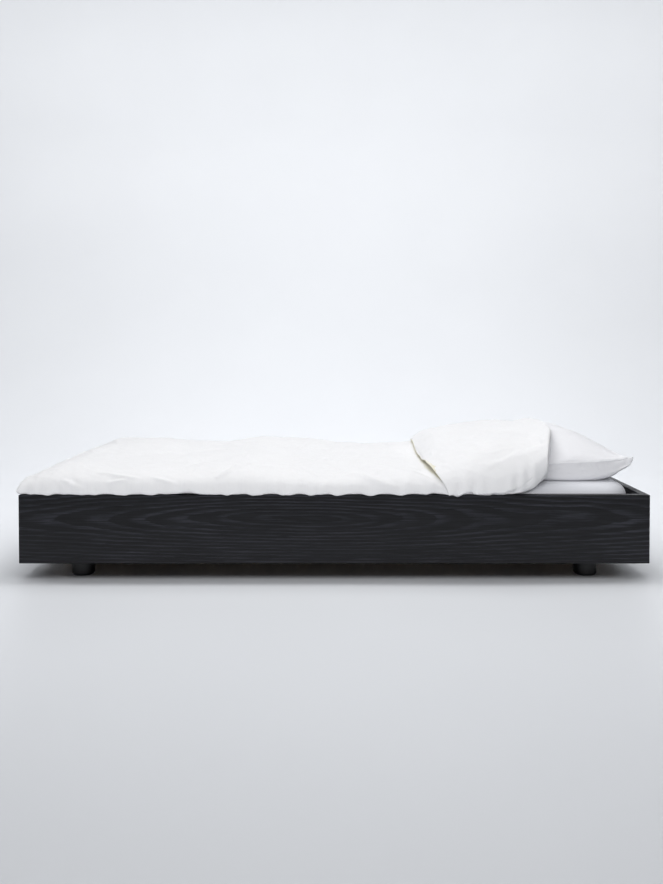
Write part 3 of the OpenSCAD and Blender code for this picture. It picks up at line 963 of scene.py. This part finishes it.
@dataclass
class Duvet:
    """Duvet that lies out to the boards' edges and is turned back at the head end.

    Its section along the bed is one closed ring: in along the underside from the foot to the
    bend, round the bend, back over the turned-back part to its hem, in under that part to the
    bend's inside, and back along the top to the foot. Across the bed, the heights of each
    layer's two sides fall to one side edge, so that the layer closes there into a seam. The
    turned-back part's edge lies further out than the lower layer's.

    Attributes:
        pillow: The pillow that its head end lies on.
        body: CAD body that it rides on.
        loft: Height of the lower layer above the boards, by place along the bed.
        fold_top: Height of the turned-back part above the boards, by place along the bed.
        bend_x: Place of the bend's inside.
        hem_x: Place of the turned-back part's hem at the middle of the bed.
        hem_slant: How far the hem shifts to the head end at the sides.
        shoulder: Width over which the lower layer's sides fall.
        fold_shoulder: Width over which the turned-back part's sides fall.
        foot_round: Length over which the foot end falls.
        hem_round: Length over which the turned-back part falls to its hem.
        least_fold: Least thickness of the turned-back part.
        overhang: How far its side edge lies outside the lower layer's.
        roll: Radius of the rolled edge that lies on the boards.
        puckers: Place, width and height of each pucker where the edge stands off the board.
        across: Grid columns across the bed.
        folds: The long creases in its front slope.
    """

    pillow: Pillow
    body: str = "duvet"
    loft: Knots = (
        (-1.05, 0.062), (-0.985, 0.064), (-0.93, 0.091), (-0.86, 0.092), (-0.65, 0.086), (-0.50, 0.072),
        (-0.29, 0.094), (0.0, 0.074), (0.4, 0.069),
    )
    fold_top: Knots = (
        (0.30, 0.095), (0.37, 0.134), (0.44, 0.150), (0.56, 0.168), (0.62, 0.174), (0.66, 0.178),
        (0.69, 0.180), (0.76, 0.190), (0.84, 0.200),
    )
    bend_x: float = 0.70
    hem_x: float = 0.322
    hem_slant: float = 0.062
    shoulder: float = 0.130
    fold_shoulder: float = 0.215
    foot_round: float = 0.060
    hem_round: float = 0.07
    least_fold: float = 0.009
    overhang: float = 0.012
    roll: float = 0.010
    puckers: tuple[tuple[float, float, float], ...] = (
        (-0.49, 0.045, 0.014), (-0.20, 0.02, 0.004), (0.09, 0.02, 0.005), (0.245, 0.014, 0.008),
        (0.325, 0.018, 0.012),
    )
    across: int = 112
    folds: tuple[Fold, ...] = (
        Fold((-0.888, 0.055), (-0.808, 0.006)),
        Fold((-0.786, 0.100), (-0.634, 0.060), 3.0),
        Fold((-0.745, 0.038), (-0.680, 0.055), 3.0, 0.009),
        Fold((-0.600, 0.072), (-0.517, 0.036), 3.0),
        Fold((-0.490, 0.107), (-0.445, 0.160), 2.5),
        Fold((-0.389, 0.060), (-0.300, 0.190), 4.0, 0.013),
        Fold((-0.285, 0.170), (-0.114, 0.160), 3.5, 0.013),
        Fold((-0.114, 0.160), (-0.053, 0.085), 2.5),
        Fold((0.020, 0.145), (0.215, 0.010), 4.0, 0.018),
        Fold((0.140, 0.280), (0.345, 0.012), 4.5, 0.020),
    )

    def __post_init__(self) -> None:
        """Takes the duvet's place from its CAD solid and its neighbours."""
        low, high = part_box("duvet")
        self.foot_x, self.head_x = low.x - 0.012, high.x
        self.half_y = high.y + 0.006
        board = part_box("side_rail_front")
        self.rail_z = board[1].z + 1.5 * MM
        self.board_y = 0.5 * MM - board[0].y
        sheet_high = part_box("fitted_sheet")[1]
        self.sheet = sheet_high + Vector((0.004, 0.004, 0.0015))

    def plan(self, s: np.ndarray, v: np.ndarray) -> tuple[np.ndarray, np.ndarray]:
        """Place in plan of each point of the section.

        The head end reaches further in the middle than at the sides: x = s + 0.045 - 0.100 v^2
        at the end itself, fading out over 0.3 m. The width narrows at both ends.

        Args:
            s: Place along the bed.
            v: Place across the bed, from -1 to 1.

        Returns:
            Arrays of x and y.
        """
        x = s + ease(s, self.head_x - 0.3, self.head_x) * (0.045 - 0.100 * v * v)
        return x, v * self.half_width(s)

    def half_width(self, s: np.ndarray) -> np.ndarray:
        """Half width in plan: full in the middle, rounded in at the foot and towards the bend."""
        t = np.clip((s - 0.60) / (self.head_x + 0.02 - 0.60), 0, 1)
        foot = 0.010 * ease(s, self.foot_x + 0.10, self.foot_x)
        return self.half_y - foot - 0.035 * (1 - np.sqrt(1 - t**2.4))

    def edge_z(self, s: np.ndarray) -> np.ndarray:
        """Height of the side edge: a roll's radius above the boards, puckered, lifted towards the bend."""
        t = np.clip((s - 0.54) / (self.head_x - 0.54), 0, 1)
        pucker = sum(rise * np.exp(-(((s - spot) / wide) ** 2)) for spot, wide, rise in self.puckers)
        wave = 0.0010 * ripples(s[..., None], 0.06, 55) * ease(s, self.head_x, 0.6)
        return self.rail_z + self.roll + 0.100 * t**2.6 + pucker + wave

    def underlay(self, x: np.ndarray, y: np.ndarray) -> np.ndarray:
        """Height of what the duvet lies on: the boards, the sheet and the pillow."""
        beside = ease(abs(y), self.sheet.y + 0.006, self.sheet.y)
        over = beside * ease(x, -self.sheet.x - 0.006, -self.sheet.x)
        bed = self.rail_z + (self.sheet.z - self.rail_z) * over
        half = self.pillow.half.y
        near = ease(abs(y), half + 0.030, half + 0.010)
        on_pillow = self.pillow.top(x, np.clip(y, -half * 0.999, half * 0.999)) + 0.007
        return bed + np.maximum(on_pillow - bed, 0) * near

    def lower_top(self, s: np.ndarray, x: np.ndarray, y: np.ndarray) -> np.ndarray:
        """Height of the lower layer's top: the loft, rounded down to the foot and the sides."""
        place_xy = np.stack([x, y], axis=-1)
        lumps = ripples(place_xy, 0.42, 51) * 0.0040 + ripples(place_xy, 0.20, 52) * 0.0020
        side = plump_round(self.half_width(s) - abs(y), self.shoulder)
        foot = quarter_round(s - self.foot_x, self.foot_round)
        fall = np.maximum(1 - np.hypot(1 - side, 1 - foot), 0)
        level = self.rail_z + soft_line(x, self.loft, 0.06) + lumps
        base = self.edge_z(s)
        under = self.underlay(x, y)
        thick = 0.012 * np.minimum(1, 3 * fall) * ease(s, self.bend_x, self.bend_x - 0.14)
        return np.maximum(base + fall * (level - base), under + thick)

    def upper_top(
        self, s: np.ndarray, x: np.ndarray, y: np.ndarray, hem: np.ndarray, inner: np.ndarray
    ) -> np.ndarray:
        """Height of the turned-back part's top, rounded down to the hem, the bend and the sides."""
        place_xy = np.stack([x, y], axis=-1)
        lumps = ripples(place_xy, 0.30, 61) * 0.0035 + ripples(place_xy, 0.13, 62) * 0.0015
        fall = plump_round(self.half_width(s) - abs(y), self.fold_shoulder)
        sag = 0.010 * (y / self.half_y) ** 2
        level = self.rail_z + soft_line(x, self.fold_top, 0.03) + lumps - sag
        tilt = 0.070 * y * ease(x, 0.66, 0.76)
        level = level - tilt - 0.008 * (1 - quarter_round(self.head_x - s, 0.015))
        base = self.edge_z(s)
        raised = base + fall * (level - base)
        rise = quarter_round(s - hem, self.hem_round)
        return inner + np.maximum(raised - inner, self.least_fold * fall) * rise

    def ring(self) -> tuple[np.ndarray, np.ndarray, dict[str, np.ndarray]]:
        """Points of the whole duvet, ring by ring across the bed.

        Returns:
            Points (around, across, 3), cloth coordinates (around + 1, across, 2), and two marks
            (around, across): how free each point is to move, and how much painted shade it takes in the gap
                under the turned-back part.
        """
        angle = np.linspace(-math.pi / 2, math.pi / 2, self.across)
        v = np.sin(angle * 0.86) / math.sin(0.86 * math.pi / 2)
        turn = np.linspace(0, math.pi / 2, 15)
        foot = self.foot_x + self.foot_round * (1 - np.cos(np.linspace(0, math.pi / 2, 10)))
        body_s = np.concatenate([foot, np.linspace(foot[-1], self.bend_x, 150)[1:]])
        bend = np.linspace(self.bend_x, self.head_x, 10)[1:]
        hem_part = self.hem_round * (1 - np.cos(turn[1:]))
        slant = self.hem_slant * abs(v) ** 12 * np.where(v < 0, 1.0, 0.6)
        hem = self.hem_x + slant + 0.012 * v
        rest = np.linspace(0, 1, 30)[1:]
        start = hem + self.hem_round
        fold_s = np.concatenate(
            [hem[None], hem + hem_part[:, None], start + (self.bend_x - start) * rest[:, None]]
        )
        rows: list[np.ndarray] = []
        freedom: list[np.ndarray] = []
        painted_fold_shade: list[np.ndarray] = []

        def add(
            s: np.ndarray, height: Callable, free: np.ndarray | float, out: float = 0.0, inside: object = 0.0
        ) -> None:
            """Adds rows of points at s, with their marks, and with the side edge moved out by a little."""
            s = np.broadcast_to(s, (s.shape[0], self.across))
            freedom.append(np.broadcast_to(free, s.shape))
            # The mark "inside" is the strength of painted shade, kept off the side edges.
            painted_fold_shade.append(np.broadcast_to(inside, s.shape) * (abs(v) < 0.96))
            x, y = self.plan(s, v)
            shift = out * ease(s, self.bend_x, self.bend_x - 0.15)
            wavy = 0.0018 * ripples(s[..., None], 0.05, 56) * abs(v) ** 40
            uneven = 0.0035 * ripples(s[..., None], 0.11, 57) + 0.0020 * ripples(s[..., None], 0.04, 58)
            hang = np.clip(0.005 + uneven, 0, 0.014) * abs(v) ** 60
            sunk = 0.8 * shift * abs(v) ** 14 + hang * ease(s, self.bend_x, self.bend_x - 0.15)
            rows.append(np.stack([x, y + v * (shift + wavy), height(s, x, y) - sunk], axis=-1))

        def bottom(s: np.ndarray, x: np.ndarray, y: np.ndarray) -> np.ndarray:
            lift = self.edge_z(s) - self.underlay(x, y)
            inset = np.minimum(self.half_width(s) - abs(y), s - self.foot_x)
            reach = 0.004 + 1.1 * np.maximum(self.edge_z(s) - self.rail_z, 0.008)
            return self.underlay(x, y) + lift * (1 - quarter_round(inset, reach))

        def mouth(s: np.ndarray, x: np.ndarray, y: np.ndarray) -> np.ndarray:
            front = np.exp(-(((v + 0.80) / 0.30) ** 2)) * 0.012 + 0.003
            near_hem = np.exp(-(((s - hem) / 0.07) ** 2))
            gap = (0.002 + front * near_hem) * (1 - abs(v) ** 14)
            gap = gap * ease(s, self.bend_x, self.bend_x - 0.10)
            return np.maximum(self.lower_top(s, x, y), self.edge_z(s)) + gap

        def fold(s: np.ndarray, x: np.ndarray, y: np.ndarray) -> np.ndarray:
            return self.upper_top(s, x, y, hem, mouth(s, x, y))

        def over_bend(s: np.ndarray, x: np.ndarray, y: np.ndarray) -> np.ndarray:
            return self.upper_top(s, x, y, hem, bottom(s, x, y))

        # Painted shade in the gap under the turned-back part: full near its hem, fading out towards the
        # bend.
        def inner_shade(s: np.ndarray) -> np.ndarray:
            return ease(s, hem + 0.14, hem + 0.08)

        add(body_s[:, None], bottom, 0.0)
        add(bend[:, None], bottom, 0.0)
        tapered = 1 - abs(v) ** 14
        end = np.full((1, self.across), self.head_x)
        x_end, y_end = self.plan(end, v)
        low_z = bottom(end, x_end, y_end)
        high_z = over_bend(end, x_end, y_end)
        tuck = 0.014 * tapered
        rows[-1][..., 0] -= tuck * ease(bend, self.bend_x, self.head_x)[:, None]
        for a in np.linspace(0, math.pi, 9)[1:-1]:
            share = (1 - math.cos(a)) / 2
            out = 0.006 * math.sin(a) * tapered - tuck * (1 - share)
            rows.append(np.stack([x_end + out, y_end, low_z + (high_z - low_z) * share], axis=-1))
            freedom.append(np.full_like(x_end, share))
            painted_fold_shade.append(np.zeros_like(x_end))
        back = body_s[::-1, None][:-1]
        covered = ease(back, hem - 0.01, hem + 0.04)
        loose = ease(1 - abs(v), 0.0, 0.14) * 0.75 + 0.25
        add(bend[::-1, None], over_bend, loose)
        add(fold_s[::-1], fold, loose, self.overhang)
        # The turned-back part's underside takes painted shade near its hem.
        add(fold_s[1:], mouth, 0.0, self.overhang, inner_shade(fold_s[1:]))
        # Painted shade on the lower layer's top, from the hem in under the turned-back part.
        shade = ease(back, hem - 0.012, hem + 0.012) * inner_shade(back)
        add(back, self.lower_top, (1.0 - covered) * loose, inside=shade)
        points = np.concatenate(rows)
        closed = np.concatenate([points, points[:1]])
        steps = np.linalg.norm(np.diff(closed[:, self.across // 2], axis=0), axis=1)
        along = np.concatenate([[0.0], np.cumsum(steps)])
        uv = np.stack([closed[..., 1], np.broadcast_to(along[:, None], closed.shape[:2])], axis=-1)
        marks = {"free": np.concatenate(freedom), "inside": np.concatenate(painted_fold_shade)}
        return points, uv, {key: values.astype(np.float32) for key, values in marks.items()}

    def build(self) -> bpy.types.Object:
        """Builds the duvet, billows its cover and adds its finer creases."""
        points, uv, marks = self.ring()
        piece = grid_piece("duvet_cover", points, uv, loop=True, weld=0.0002, marks=marks)
        Billow(pressure=2.5, growth=0.03, reach=6 * MM).run(piece, free_of(piece.data))
        subdivided(piece)
        self.crease(piece)
        cotton = Cloth(
            "duvet_cotton",
            colour=(0.84, 0.84, 0.85),
            shade=(0.70, 0.70, 0.72),
            pitch=0.0008,
            crinkle=0.0007,
            # Painted warm shade for the gap under the turned-back part.
            inside=(0.76, 0.73, 0.60),
        )
        piece.data.materials.append(cotton.material())
        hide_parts("duvet")
        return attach(piece, self.body)

    def crease(self, piece: bpy.types.Object) -> None:
        """Adds noise creases of two sizes, fine ripples and the named long creases."""
        points = places_of(piece.data)
        normals = normals_of(piece.data)
        free = free_of(piece.data)
        height = points[:, 2] - self.rail_z
        low = 1 - ease(height, 0.02, 0.11)
        long_folds = creases(points * np.array([1.0, 0.55, 1.0]), 0.16, 71) * (0.5 + 1.0 * low)
        short_folds = creases(points, 0.055, 75) * (0.3 + 0.9 * low)
        shift = -2.4 * long_folds - 1.3 * short_folds + 0.5 * ripples(points, 0.03, 80)
        up = height - self.roll + points[:, 1] + self.half_y
        front = ease(points[:, 1], -0.05, -0.2)
        shift = shift * free
        for fold in self.folds:
            shift += 1.7 * front * np.minimum(1, 3 * free) * fold.rise(points[:, 0], up)
        points += normals * (shift * MM)[:, None]
        floor = self.underlay(points[:, 0], points[:, 1]) - 0.2 * MM
        over_board = abs(points[:, 1]) < self.board_y
        points[:, 2] = np.where(over_board, np.maximum(points[:, 2], floor), points[:, 2])
        place(piece.data, points)


# ---------- studio ----------


@dataclass(frozen=True)
class Lamp:
    """A rectangular area light.

    Attributes:
        name: Name of the light.
        spot: Place of the light.
        aim: Point that it faces.
        size: Width and height in metres.
        power: Power in watts.
        lights: The objects that it lights, or none for all.
        colour: Colour of the light.
    """

    name: str
    spot: tuple[float, float, float]
    aim: tuple[float, float, float]
    size: tuple[float, float]
    power: float
    lights: tuple = ()
    colour: Colour = (1.0, 1.0, 1.0)


@dataclass
class Studio:
    """Pale floor that sweeps up into a wall, soft lights and the camera.

    Attributes:
        eye: Place of the camera.
        pitch: How far the camera looks down, in degrees.
        lens: Focal length for a 36 mm sensor.
        shift: Vertical shift of the view.
        wall_y: Distance to the wall.
    """

    eye: tuple[float, float, float] = (-0.009, -3.03, 0.765)
    pitch: float = 1.2
    lens: float = 31.96
    shift: float = -0.0914
    wall_y: float = 4.2

    def camera(self) -> None:
        """Makes the camera, which looks along +Y and a little down."""
        data = bpy.data.cameras.new("camera")
        data.lens = self.lens
        data.sensor_width = 36.0
        data.shift_y = self.shift
        camera = bpy.data.objects.new("camera", data)
        camera.location = self.eye
        camera.rotation_euler = (math.radians(90.0 - self.pitch), 0.0, 0.0)
        bpy.context.scene.collection.objects.link(camera)
        bpy.context.scene.camera = camera

    def sweep(self) -> bpy.types.Object:
        """Makes the floor and wall: a floor line, a quarter circle and a wall line, drawn along X."""
        radius = 2.8
        reach = 9.0
        tall = 7.0
        turn = np.linspace(0, math.pi / 2, 48)
        y = np.concatenate([[-reach], self.wall_y - radius + radius * np.sin(turn), [self.wall_y]])
        z = np.concatenate([[0.0], radius * (1 - np.cos(turn)), [tall]])
        x = np.array([-reach, reach])
        points = np.stack(np.broadcast_arrays(x[None, :], y[:, None], z[:, None]), axis=-1)
        piece = grid_piece("studio_sweep", points, points[..., :2])
        g = Graph("studio_paint")
        blotch = g.noise(g.space(), 1.2, 2.0)
        colour = g.blend(blotch, (0.60, 0.615, 0.64), (0.63, 0.645, 0.67))
        piece.data.materials.append(g.finish(Base_Color=colour, Roughness=0.42, Specular_IOR_Level=0.3))
        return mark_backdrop(piece) or piece

    def lamp(self, lamp: "Lamp") -> None:
        """Makes one rectangular area light.

        A lamp that lights only some objects has a collection of them as its receivers.
        """
        data = bpy.data.lights.new(lamp.name, "AREA")
        data.shape = "RECTANGLE"
        data.size, data.size_y = lamp.size
        data.energy = lamp.power
        data.color = lamp.colour
        light = bpy.data.objects.new(lamp.name, data)
        light.location = lamp.spot
        light.rotation_euler = (Vector(lamp.aim) - Vector(lamp.spot)).to_track_quat("-Z", "Y").to_euler()
        bpy.context.scene.collection.objects.link(light)
        if lamp.lights:
            receivers = bpy.data.collections.new(lamp.name)
            for lit in lamp.lights:
                receivers.objects.link(lit)
            light.light_linking.receiver_collection = receivers

    def build(self, bedding: tuple) -> None:
        """Makes the camera, the sweep, the lights and the even light of the room.

        Args:
            bedding: The pale pieces, which have a fill light of their own.
        """
        self.camera()
        room = (self.sweep(),)
        self.lamp(Lamp("overhead", (0.0, 0.1, 3.2), (0.0, 0.1, 0.0), (3.4, 2.4), 82.0))
        self.lamp(Lamp("bed_fill", (-0.6, -4.2, 2.0), (0.0, 0.0, 0.3), (3.5, 2.2), 105.0, bedding))
        self.lamp(Lamp("wall_wash", (0.0, 0.4, 4.4), (0.0, 4.2, 1.5), (12.0, 1.2), 385.0, room))
        self.lamp(Lamp("floor_wash", (0.0, -2.2, 3.0), (0.0, -1.9, 0.0), (1.6, 1.6), 24.0, room))
        world = bpy.data.worlds.new("room")
        world.use_nodes = True
        world.node_tree.nodes["Background"].inputs["Color"].default_value = (0.90, 0.93, 1.0, 1.0)
        strength = world.node_tree.nodes.new("ShaderNodeMath")
        strength.operation = "MULTIPLY_ADD"
        seen = world.node_tree.nodes.new("ShaderNodeLightPath").outputs["Is Camera Ray"]
        world.node_tree.links.new(seen, strength.inputs[0])
        strength.inputs[1].default_value = 0.68
        strength.inputs[2].default_value = 0.10
        world.node_tree.links.new(
            strength.outputs[0], world.node_tree.nodes["Background"].inputs["Strength"]
        )
        bpy.context.scene.world = world
        bpy.context.scene.view_settings.view_transform = "Standard"


# ---------- the whole bed ----------


def main() -> None:
    """Builds the bed and its studio in order."""
    logging.basicConfig(level=logging.INFO, format="%(name)s: %(message)s")
    BoxFrame().dress()
    SlatBase().dress()
    LOG.info("timber, hardware and slats dressed")
    mattress = Mattress()
    pillow = Pillow()
    bedding = tuple(build() for build in (mattress.core, mattress.sheet, pillow.build, Duvet(pillow).build))
    for piece in bedding:
        LOG.info("%s: %d faces", piece.name, len(piece.data.polygons))
    Studio().build(bedding)


if __name__ == "__main__":
    main()
